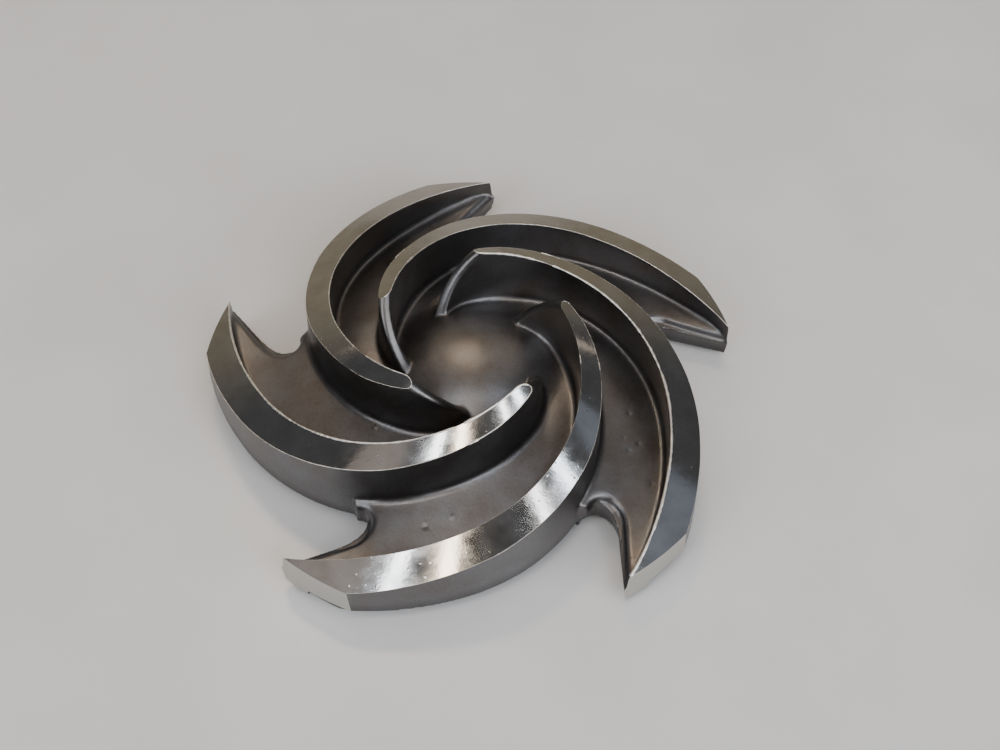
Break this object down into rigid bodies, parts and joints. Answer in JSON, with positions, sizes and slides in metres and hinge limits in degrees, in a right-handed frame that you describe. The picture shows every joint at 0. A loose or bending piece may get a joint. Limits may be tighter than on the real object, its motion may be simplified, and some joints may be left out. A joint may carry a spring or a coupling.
{
  "type": "pump impeller",
  "caption": "Semi-open pump impeller: one stainless casting with backward-curved vanes on a scalloped back shroud and a blind shaft bore.",
  "frame": {"origin": "on the shaft axis at the back face of the hub", "axes": "+Z along the shaft axis from the back face of the hub towards the eye; the tip of the first vane is near +Y"},
  "size_m": [0.1968, 0.1911, 0.0496],
  "materials": {
    "cast_stainless": "as cast, with machined front edges and rim"
  },
  "bodies": {
    "root": {"impeller": "cast_stainless"}
  },
  "joints": []
}
